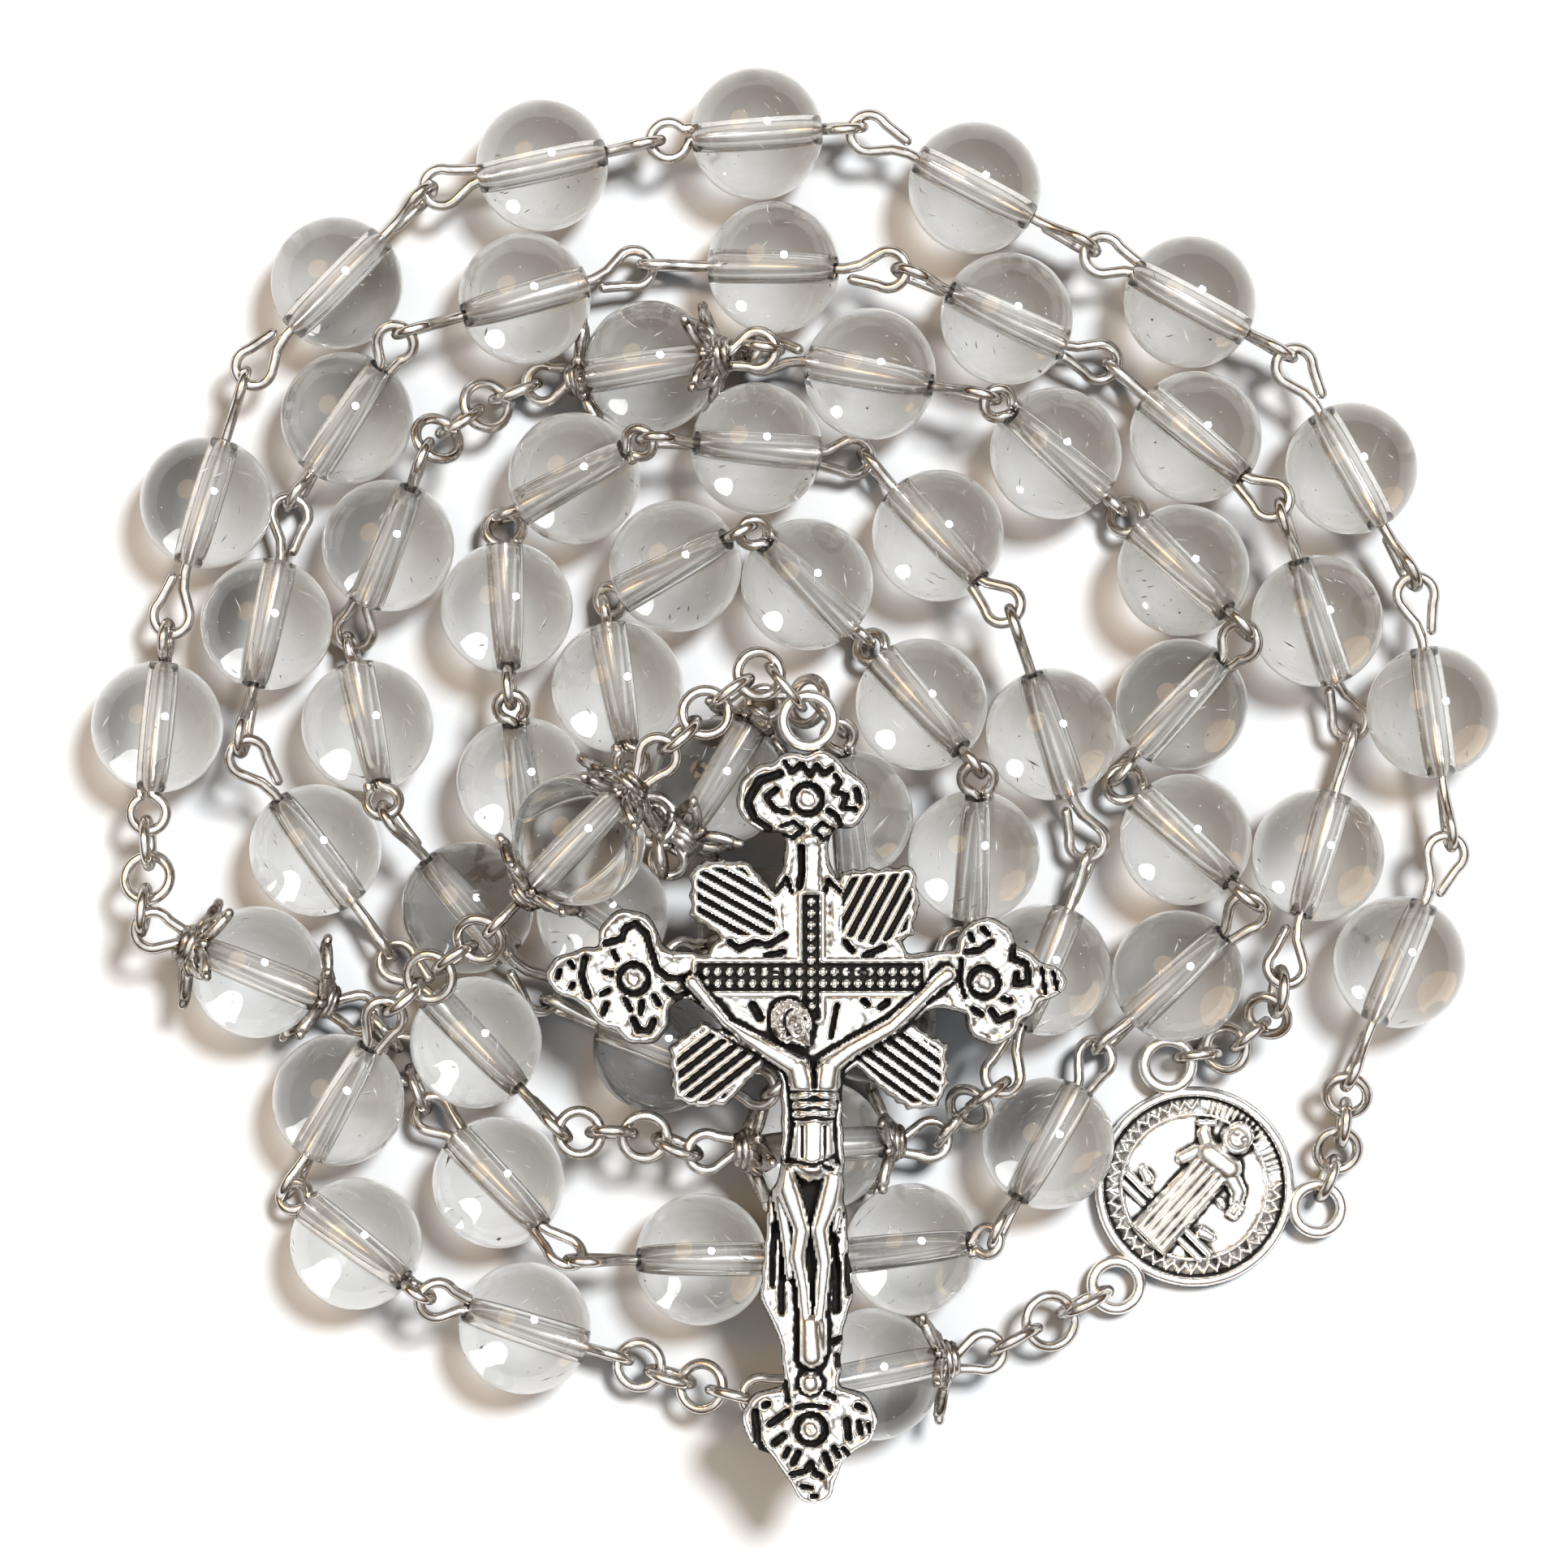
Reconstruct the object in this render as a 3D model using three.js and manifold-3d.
// Rosary of clear glass beads on steel eye pins, lying coiled flat as it is put down.
// Millimetres, +Z up. The beads and the medal rest on Z = 0, and the origin is the middle of the
// bottom of the lying shape. Five decades of ten beads run from the medal's right loop, round in
// five turns, to its top loop. The pendant hangs from its bottom loop and ends in the crucifix.

import * as THREE from 'three';
import { mergeVertices } from 'three/addons/utils/BufferGeometryUtils.js';
import Module from 'manifold-3d';

// ---- driving dimensions ----
const BEAD_RADIUS = 4.0;
const BORE_RADIUS = 0.65;
const BEAD_SIDES = 8;
const BEAD_BANDS = 6; // from hole to hole
const PIN_WIRE = 0.3; // radius of an eye pin's wire
const EYE_RADIUS = 1.1; // to the middle of the wire
const EYE_START = 4.35; // from a bead's centre to the near side of its eye, at least
const FATHER_EYE_START = 5.25; // the same where a cap stands between bead and eye
const INNER_LINK = 0.95; // radius of the end eyes of the joined inner decades
const PAST_JOINED = 0.1; // how far a wire passes the hook where both pieces are one node
const PAST_FREE = 0.5; // and where they are separate nodes, hooked with room to move
const RING_WIRE = 0.275; // a chain ring's size comes from the length of the chain it is in
const WIRE_SIDES = 3; // pins and rings are this coarse, because there are so many of them
const RING_STEPS = 5;
const SMALL_RING_SIDES = 4; // of the few rings that carry the medal and the crucifix
const CAP_INNER = BEAD_RADIUS + 0.25;
const CAP_THICKNESS = 0.3;
const CAP_RADIUS = 2.75;
const CAP_HOLE = 0.65;
const CAP_STEPS = 2;
const MEDAL_RADIUS = 6.1;
const MEDAL_THICKNESS = 1.6;
const MEDAL_RIM = 0.7;
const MEDAL_FIELD_DEPTH = 0.35;
const MEDAL_LOOP = 1.45; // to the middle of the wire
const MEDAL_LOOP_WIRE = 0.35;
const MEDAL_SIDES = 24;
const FIGURE_RADIUS = 1.3;
const FIGURE_LENGTH = 4.2;
const CRUCIFIX_BASE = 8.7; // the crucifix lies across the tops of the beads
const CRUCIFIX_THICKNESS = 2.0;
const CRUCIFIX_LOOP = 1.5;
const CRUCIFIX_LOOP_WIRE = 0.35;
const CRUCIFIX_LOOP_UP = 15.47; // from the middle of the cross to the middle of the loop
const SHAFT = { width: 4.2, length: 38, x: 0, y: -8 };
const ARMS = { width: 22, length: 3.6, x: 0, y: 0.1 };
const RAY_PLATE = 5.4; // side of the square plate in each corner of the cross
const RAY_PLATE_AT = [4.2, 4.1];
const RAY_PLATE_DROP = 0.6; // the lower two sit this much lower
const BOSS_RADIUS = 1.1;
const BOSS_HEIGHT = 0.6;
const LOBE_SIDES = 8;
const JUMP_RING = 1.6;
const JUMP_WIRE = 0.28;

// The middle of the lying shape in the layout below, which becomes the origin.
const MIDDLE = [0.69, 0.47];

// ---- how it lies ----
// Where each strand's pins hook into one another, in order. A bead sits midway between two hooks.
const STRANDS = {
  a: [
    [34.1, -17.9, 3.7], [40.3, -3.4, 4.3], [38.1, 12.3, 4.1], [30.5, 26, 3.9], [18.6, 32.4, 4.3],
    [4.5, 39.8, 3.7], [-7.7, 38.9, 4.3], [-21.4, 36, 3.7], [-32.5, 24.7, 4.3], [-37.2, 9.5, 3.8],
    [-38.4, -2.4, 4.3],
  ],
  b: [
    [-21.8, -19.4, 1.7], [-12.6, -28.5, 6.3], [2.7, -28.7, 1.8], [12.7, -27.3, 6.3], [19.3, -15.9, 1.7],
    [28.4, -7.1, 6.5], [20.2, 0.6, 1.6], [27.9, 9.2, 6.9], [20.4, 16.8, 1.6], [12.5, 23.3, 6.5],
    [-2, 26.4, 1.7],
  ],
  c: [
    [-21.4, 20.3, 6.4], [-26.3, 8.7, 1.7], [-23.9, -1.5, 6.6], [-14.2, -13.2, 1.7], [-0.8, -18.4, 6.7],
    [11.3, -9.5, 1.6], [11.7, 1, 6.5], [5, 8.8, 1.6], [-2.1, 15.5, 7], [-10.9, 11, 1.6],
    [-9.1, 0.9, 6.6],
  ],
  d: [
    [3.3, 3.5, 5.9], [4.4, -7.1, 2.1], [-6.7, -10.7, 6.3], [-15.1, -4.8, 1.7], [-16.4, 5.2, 6.6],
    [-17, 16.3, 1.6], [-8.2, 20.8, 7], [5, 19.9, 1.6], [13.7, 10.3, 6.4], [18.7, -4.1, 1.7],
    [12.9, -18.1, 6.5],
  ],
  e: [
    [-13.2, -20.9, 6.5], [-23.9, -10.1, 1.7], [-32.6, 2.3, 6.3], [-29.8, 17.2, 1.7], [-22.9, 27.2, 6.3],
    [-8.3, 31.6, 1.9], [7.1, 31, 6.1], [19.9, 25.4, 1.9], [29.9, 16.7, 6.2], [34.6, 3.2, 1.8],
    [30, -11.6, 6.2],
  ],
  h: [[-9.7, -34.8, 2], [-21.5, -30.7, 6.1], [-30.1, -24.6, 1.9], [-23.6, -13.3, 6.4]],
};
// Each Our Father bead stands alone between two chains: the two hooks of its pin.
const FATHERS = [
  [[-38.6, -8.4, 6], [-25, -14.1, 2]],
  [[-0.8, 26.3, 6.2], [-15.3, 24.3, 1.8]],
  [[-7.2, -5, 7], [-0.8, 5.5, 1.6]],
  [[9.7, -21.4, 2.8], [-5.4, -22.1, 5.2]],
  [[13, -34.1, 3.3], [-2.1, -37, 4.7]],
  [[-17.4, -8.6, 9.4], [-6.9, 2.3, 11.7]],
];
const CHAIN_FROM_B = [-2.35, 26.45, 2.4]; // this chain climbs, so its first ring stands through the eye
const MEDAL_AT = [25, -24.4];
const MEDAL_LOOPS = [[23.4, -16.95], [32.5, -25.7], [20.25, -30.35]];
const MEDAL_HOOKS = [[24.3, -16.5, 1.5], [32.7, -24.7, 1.5], [19.4, -30.8, 1.5]]; // top, right, bottom
const CRUCIFIX_AT = [1.5, -11.6];
const CRUCIFIX_HOOK = [-0.6, 7.15, 9.9]; // where the last chain ring hooks into the jump ring
const JUMP_RING_AT = [0.15, 5.86, 9.8];
const JUMP_RING_ALONG = [0.64, -0.77, 0]; // it stands on edge, from the chain to the crucifix's loop

const colours = {
  glass: { color: 0xdfe3e4, roughness: 0.06, metalness: 0 },
  steel: { color: 0xb9b5ae, roughness: 0.22, metalness: 1 },
  cap: { color: 0xa7a49e, roughness: 0.3, metalness: 1 },
  silver: { color: 0xc9c7c2, roughness: 0.3, metalness: 1 },
};

const wasm = await Module();
wasm.setup();

const up = new THREE.Vector3(0, 0, 1);
const point = (p) => new THREE.Vector3(p[0], p[1], p[2]);

const rosary = new THREE.Group();
const laid = new THREE.Group();
laid.position.set(-MIDDLE[0], -MIDDLE[1], 0);
rosary.add(laid);

function addMesh(name, geometry, finish) {
  const mesh = new THREE.Mesh(geometry, new THREE.MeshStandardMaterial(colours[finish]));
  mesh.name = name;
  laid.add(mesh);
  return mesh;
}

// ---- solids: closed geometries, joined as manifolds ----

function solid(geometry) {
  const bare = geometry.index ? geometry : mergeVertices(geometry);
  bare.deleteAttribute('normal');
  bare.deleteAttribute('uv');
  const merged = mergeVertices(bare, 1e-5);
  return new wasm.Manifold(new wasm.Mesh({
    numProp: 3,
    vertProperties: new Float32Array(merged.attributes.position.array),
    triVerts: new Uint32Array(merged.index.array),
  }));
}

function geometryOf(manifold) {
  const mesh = manifold.getMesh();
  const geometry = new THREE.BufferGeometry();
  geometry.setAttribute('position', new THREE.BufferAttribute(mesh.vertProperties, 3));
  geometry.setIndex(new THREE.BufferAttribute(mesh.triVerts, 1));
  geometry.computeVertexNormals();
  return geometry;
}

function joined(geometries) {
  let whole = solid(geometries[0]);
  for (const geometry of geometries.slice(1)) whole = whole.add(solid(geometry));
  return geometryOf(whole);
}

// A turn that takes +Z to the given direction, with +Y kept as near to up as it can be.
function facing(direction) {
  const z = direction.clone().normalize();
  const side = Math.abs(z.z) > 0.95 ? new THREE.Vector3(0, 1, 0) : up;
  const x = new THREE.Vector3().crossVectors(side, z).normalize();
  const y = new THREE.Vector3().crossVectors(z, x);
  return new THREE.Matrix4().makeBasis(x, y, z);
}

function placed(geometry, at, turn) {
  return geometry.applyMatrix4(turn).applyMatrix4(new THREE.Matrix4().makeTranslation(at));
}

// A round rod from one point to another.
function rod(from, to, radius, sides) {
  const length = from.distanceTo(to);
  const geometry = new THREE.CylinderGeometry(radius, radius, length, sides).rotateX(Math.PI / 2);
  const middle = from.clone().add(to).multiplyScalar(0.5);
  return placed(geometry, middle, facing(to.clone().sub(from)));
}

// A wire ring whose plane holds the given direction: lying as flat as it can, or standing on edge.
function wireRing(at, direction, flat, radius, wire, sides, steps) {
  const along = direction.clone().normalize();
  const edge = new THREE.Vector3().crossVectors(up, along).normalize();
  const normal = flat ? new THREE.Vector3().crossVectors(along, edge) : edge;
  const across = new THREE.Vector3().crossVectors(normal, along);
  const turn = new THREE.Matrix4().makeBasis(along, across, normal);
  return placed(new THREE.TorusGeometry(radius, wire, sides, steps), at, turn);
}

// ---- beads ----

function beadProfile(bored) {
  const start = bored ? Math.asin(BORE_RADIUS / BEAD_RADIUS) : 0;
  const profile = [];
  for (let i = 0; i <= BEAD_BANDS; i += 1) {
    const angle = start + (i / BEAD_BANDS) * (Math.PI - 2 * start);
    const radius = bored || (i > 0 && i < BEAD_BANDS) ? BEAD_RADIUS * Math.sin(angle) : 0;
    profile.push(new THREE.Vector2(radius, -BEAD_RADIUS * Math.cos(angle)));
  }
  if (bored) profile.push(profile[0].clone());
  return profile;
}

function beadGeometry(bored) {
  return new THREE.LatheGeometry(beadProfile(bored), BEAD_SIDES).rotateX(Math.PI / 2);
}

function middleOf(hooks) {
  return point(hooks[0]).add(point(hooks[1])).multiplyScalar(0.5);
}

function addBead(name, hooks) {
  const bead = addMesh(name, beadGeometry(true), 'glass');
  bead.position.copy(middleOf(hooks));
  bead.quaternion.setFromRotationMatrix(facing(point(hooks[1]).sub(point(hooks[0]))));
}

// ---- caps on the Our Father beads: shallow bowls over the bead's two ends ----

function capGeometry(hole) {
  const profile = [];
  const rim = Math.asin(CAP_RADIUS / CAP_INNER);
  const inner = Math.asin(hole / CAP_INNER);
  const outerRadius = CAP_INNER + CAP_THICKNESS;
  for (let i = 0; i <= CAP_STEPS; i += 1) {
    const angle = inner + (i / CAP_STEPS) * (rim - inner);
    profile.push(new THREE.Vector2(CAP_INNER * Math.sin(angle), CAP_INNER * Math.cos(angle)));
  }
  for (let i = CAP_STEPS; i >= 0; i -= 1) {
    const angle = inner + (i / CAP_STEPS) * (rim - inner);
    profile.push(new THREE.Vector2(outerRadius * Math.sin(angle), outerRadius * Math.cos(angle)));
  }
  if (hole > 0) profile.push(profile[0].clone());
  return new THREE.LatheGeometry(profile, BEAD_SIDES).rotateX(Math.PI / 2);
}

// ---- eye pins: a straight wire through the bead with a round eye bent at each end ----

function eye(middle, along, half, past, eyeStart, flat) {
  const radius = Math.min(EYE_RADIUS, (half + past - eyeStart) / 2);
  const reach = half + past - radius;
  const at = middle.clone().addScaledVector(along, reach);
  const shaftEnd = middle.clone().addScaledVector(along, reach - radius);
  const ring = wireRing(at, along, flat, radius, PIN_WIRE, WIRE_SIDES, RING_STEPS);
  return { ring, shaftEnd };
}

function eyePin(hooks, eyeStart, startFlat, pastStart, pastEnd) {
  const from = point(hooks[0]);
  const to = point(hooks[1]);
  const along = to.clone().sub(from).normalize();
  const half = from.distanceTo(to) / 2;
  const middle = middleOf(hooks);
  const start = eye(middle, along.clone().negate(), half, pastStart, eyeStart, startFlat);
  const end = eye(middle, along, half, pastEnd, eyeStart, true);
  return [rod(start.shaftEnd, end.shaftEnd, PIN_WIRE, WIRE_SIDES), start.ring, end.ring];
}

// A pin for each bead of a strand, joined at the hooks between them.
function strandPins(hooks, startFlat, joinedAtStart = false, joinedAtEnd = false) {
  const pieces = [];
  const count = hooks.length - 1;
  for (let i = 0; i < count; i += 1) {
    const pastStart = i > 0 || joinedAtStart ? PAST_JOINED : PAST_FREE;
    const pastEnd = i < count - 1 || joinedAtEnd ? PAST_JOINED : PAST_FREE;
    const flat = i === 0 && startFlat;
    pieces.push(...eyePin([hooks[i], hooks[i + 1]], EYE_START, flat, pastStart, pastEnd));
  }
  return pieces;
}

// ---- chains: rings hooked in turn on edge and flat along a bowed line between two hooks ----

function chain(from, to, count, bow, joinedAtStart = false, joinedAtEnd = false) {
  const start = point(from);
  const end = point(to);
  const bend = start.clone().add(end).multiplyScalar(0.5).add(point(bow));
  const line = new THREE.QuadraticBezierCurve3(start, bend, end);
  const pieces = [];
  for (let i = 0; i < count; i += 1) {
    const [near, far] = [line.getPointAt(i / count), line.getPointAt((i + 1) / count)];
    const along = far.clone().sub(near).normalize();
    near.addScaledVector(along, -(i > 0 || joinedAtStart ? PAST_JOINED : PAST_FREE));
    far.addScaledVector(along, i < count - 1 || joinedAtEnd ? PAST_JOINED : PAST_FREE);
    const middle = near.clone().add(far).multiplyScalar(0.5);
    const radius = near.distanceTo(far) / 2;
    const flat = i % 2 === 1;
    pieces.push(wireRing(middle, along, flat, radius, RING_WIRE, WIRE_SIDES, RING_STEPS));
  }
  return pieces;
}

// A capped Our Father pin with its two caps joined to it.
function cappedPin(hooks) {
  const middle = middleOf(hooks);
  const along = point(hooks[1]).sub(point(hooks[0])).normalize();
  const caps = [1, -1].map((side) => placed(
    capGeometry(0), middle, facing(along.clone().multiplyScalar(side))));
  return [...eyePin(hooks, FATHER_EYE_START, true, PAST_JOINED, PAST_JOINED), ...caps];
}

const last = (list) => list[list.length - 1];

// ---- the medal: a disc with a raised rim, a raised figure and three loops ----

function disc(radius, height, z, sides) {
  const geometry = new THREE.CylinderGeometry(radius, radius, height, sides).rotateX(Math.PI / 2);
  return geometry.translate(0, 0, z + height / 2);
}

function medal() {
  const [x, y] = MEDAL_AT;
  const fieldHeight = MEDAL_THICKNESS - MEDAL_FIELD_DEPTH;
  const blank = disc(MEDAL_RADIUS, MEDAL_THICKNESS, 0, MEDAL_SIDES).translate(x, y, 0);
  const cutter = disc(MEDAL_RADIUS - MEDAL_RIM, MEDAL_THICKNESS, fieldHeight, MEDAL_SIDES);
  const figure = new THREE.CapsuleGeometry(FIGURE_RADIUS, FIGURE_LENGTH, 2, 6).scale(1, 1, 0.5);
  figure.rotateZ(-Math.PI / 4).translate(x, y, fieldHeight);
  let body = solid(blank).subtract(solid(cutter.translate(x, y, 0))).add(solid(figure));
  for (const [loopX, loopY] of MEDAL_LOOPS) {
    const loop = new THREE.TorusGeometry(MEDAL_LOOP, MEDAL_LOOP_WIRE, SMALL_RING_SIDES, 8);
    body = body.add(solid(loop.translate(loopX, loopY, MEDAL_THICKNESS - MEDAL_LOOP_WIRE)));
  }
  return geometryOf(body);
}

// ---- the crucifix: a cross with a flower at each end, rayed corners and a raised figure ----

const FLOWERS = [
  { at: [0, 10.8], lobes: [90, 0, 180], reach: 1.9, radius: 1.95 },
  { at: [-10.8, 0.1], lobes: [180, 90, 270], reach: 2.1, radius: 2.0 },
  { at: [10.8, -0.2], lobes: [0, 90, 270], reach: 2.1, radius: 2.0 },
  { at: [0, -26.8], lobes: [270, 0, 180], reach: 1.9, radius: 2.1 },
];

function crossBar({ width, length, x, y }) {
  const box = new THREE.BoxGeometry(width, length, CRUCIFIX_THICKNESS);
  return box.translate(x, y, CRUCIFIX_THICKNESS / 2);
}

function flower({ at, lobes, reach, radius }) {
  const pieces = lobes.map((degrees) => {
    const angle = THREE.MathUtils.degToRad(degrees);
    const [x, y] = [at[0] + reach * Math.cos(angle), at[1] + reach * Math.sin(angle)];
    return disc(radius, CRUCIFIX_THICKNESS, 0, LOBE_SIDES).translate(x, y, 0);
  });
  const boss = disc(BOSS_RADIUS, CRUCIFIX_THICKNESS + BOSS_HEIGHT, 0, LOBE_SIDES);
  return [...pieces, boss.translate(at[0], at[1], 0)];
}

function rayPlate([sideX, sideY]) {
  const x = sideX * RAY_PLATE_AT[0];
  const y = sideY * RAY_PLATE_AT[1] - (sideY < 0 ? RAY_PLATE_DROP : 0);
  return crossBar({ width: RAY_PLATE, length: RAY_PLATE, x, y });
}

// The figure on the cross, from a few rounded forms sunk to half their depth in its face.
function corpus() {
  const face = CRUCIFIX_THICKNESS;
  const torso = new THREE.CapsuleGeometry(1.25, 7.5, 1, 6).scale(1, 1, 0.7).translate(0, -6.2, face);
  const legs = new THREE.CapsuleGeometry(0.9, 11.5, 1, 6).scale(1, 1, 0.8).translate(0, -16.8, face);
  const head = new THREE.IcosahedronGeometry(1.35, 0).translate(-0.6, -1.6, face + 0.6);
  const arms = new THREE.CapsuleGeometry(0.55, 15.5, 1, 6).rotateZ(Math.PI / 2);
  return [torso, legs, head, arms.translate(0.3, -1.1, face)];
}

function crucifix() {
  const corners = [[1, 1], [-1, 1], [-1, -1], [1, -1]];
  const loop = new THREE.TorusGeometry(CRUCIFIX_LOOP, CRUCIFIX_LOOP_WIRE, SMALL_RING_SIDES, 10);
  return joined([
    crossBar(SHAFT),
    crossBar(ARMS),
    ...FLOWERS.flatMap(flower),
    ...corners.map(rayPlate),
    ...corpus(),
    loop.translate(0, CRUCIFIX_LOOP_UP, CRUCIFIX_THICKNESS / 2),
  ]).translate(CRUCIFIX_AT[0], CRUCIFIX_AT[1], CRUCIFIX_BASE);
}

// ---- the assembly ----

for (const [letter, hooks] of Object.entries(STRANDS)) {
  if (letter === 'c' || letter === 'd') continue;
  for (let i = 0; i + 1 < hooks.length; i += 1) {
    const number = String(i + 1).padStart(2, '0');
    addBead(`bead_${letter}${number}`, [hooks[i], hooks[i + 1]]);
  }
}
FATHERS.forEach((hooks, i) => addBead(`father_bead_${i + 1}`, hooks));

// The two inner decades are joined whole: ten beads in one solid each, with a link for each hook.
function wholeDecade(hooks, startFlat) {
  const pieces = [];
  for (let i = 0; i + 1 < hooks.length; i += 1) {
    const from = point(hooks[i]);
    const to = point(hooks[i + 1]);
    const along = to.clone().sub(from).normalize();
    pieces.push(placed(beadGeometry(false), middleOf([hooks[i], hooks[i + 1]]), facing(along)));
    if (i === 0) from.addScaledVector(along, INNER_LINK);
    if (i + 2 === hooks.length) to.addScaledVector(along, -INNER_LINK);
    pieces.push(rod(from, to, PIN_WIRE, SMALL_RING_SIDES));
  }
  const ends = [[hooks[0], hooks[1], startFlat], [last(hooks), hooks[hooks.length - 2], true]];
  for (const [end, next, flat] of ends) {
    const along = point(end).sub(point(next)).normalize();
    const at = point(end).addScaledVector(along, PAST_FREE - INNER_LINK);
    pieces.push(wireRing(at, along, flat, INNER_LINK, PIN_WIRE, WIRE_SIDES, RING_STEPS));
  }
  return joined(pieces);
}

const { a, b, c, d, e, h } = STRANDS;
const [medalTop, medalRight, medalBottom] = MEDAL_HOOKS;
addMesh('strand_c', wholeDecade(c, false), 'glass');
addMesh('strand_d', wholeDecade(d, true), 'glass');
addMesh('wire_a', joined([
  ...chain(medalRight, a[0], 4, [0.8, -0.5, -1], false, true),
  ...strandPins(a, false, true),
]), 'steel');
addMesh('wire_b', joined(strandPins(b, true)), 'steel');
addMesh('wire_e', joined([
  ...strandPins(e, false, false, true),
  ...chain(last(e), medalTop, 5, [2.2, -2.2, -1], true),
]), 'steel');
addMesh('wire_h', joined(strandPins(h, false)), 'steel');

// The four Our Father pins in the coil, each made as one with its caps and the chains beside it.
const coilRuns = [
  { before: [last(a), 3, [0.4, 0, -1]], after: [b[0], 3, [0.6, 0.6, -0.4]] },
  { before: [CHAIN_FROM_B, 3, [-0.8, 0.1, 0]], after: [c[0], 4, [-0.4, 0.8, -1]] },
  { before: [last(c), 3, [1, -1, 0.6]], after: [d[0], 3, [0.8, 1.2, 0.6]] },
  { before: [last(d), 3, [-0.2, 0.5, -0.6]], after: [e[0], 4, [0.6, 1, -0.6]] },
];
coilRuns.forEach(({ before, after }, i) => {
  const hooks = FATHERS[i];
  addMesh(`father_wire_${i + 1}`, joined([
    ...chain(before[0], hooks[0], before[1], before[2], false, true),
    ...cappedPin(hooks),
    ...chain(hooks[1], after[0], after[1], after[2], true, false),
  ]), 'steel');
});
addMesh('father_wire_5', joined([
  ...chain(medalBottom, FATHERS[4][0], 3, [0, 0, 0.6], false, true),
  ...eyePin(FATHERS[4], FATHER_EYE_START, true, PAST_JOINED, PAST_JOINED),
  ...chain(FATHERS[4][1], h[0], 4, [0, -0.4, -0.8], true, false),
]), 'steel');
const lastPin = eyePin(FATHERS[5], FATHER_EYE_START, false, PAST_FREE, PAST_FREE);
addMesh('father_wire_6', joined(lastPin), 'steel');
for (const i of [4, 5]) {
  [1, -1].forEach((side) => {
    const cap = addMesh(`cap_${i + 1}_${side > 0 ? 'far' : 'near'}`, capGeometry(CAP_HOLE), 'cap');
    const along = point(FATHERS[i][1]).sub(point(FATHERS[i][0])).multiplyScalar(side);
    cap.position.copy(middleOf(FATHERS[i]));
    cap.quaternion.setFromRotationMatrix(facing(along));
  });
}
addMesh('pendant_chain', joined(chain(last(h), FATHERS[5][0], 4, [0, 0, -0.5])), 'steel');
addMesh('crucifix_chain', joined(chain(FATHERS[5][1], CRUCIFIX_HOOK, 4, [0, 0.6, 0.4])), 'steel');
const jumpRing = wireRing(
  point(JUMP_RING_AT), point(JUMP_RING_ALONG), false, JUMP_RING, JUMP_WIRE, SMALL_RING_SIDES, 10);
addMesh('crucifix_ring', jumpRing, 'steel');
addMesh('crucifix', crucifix(), 'silver');
addMesh('medal', medal(), 'silver');

export default rosary;
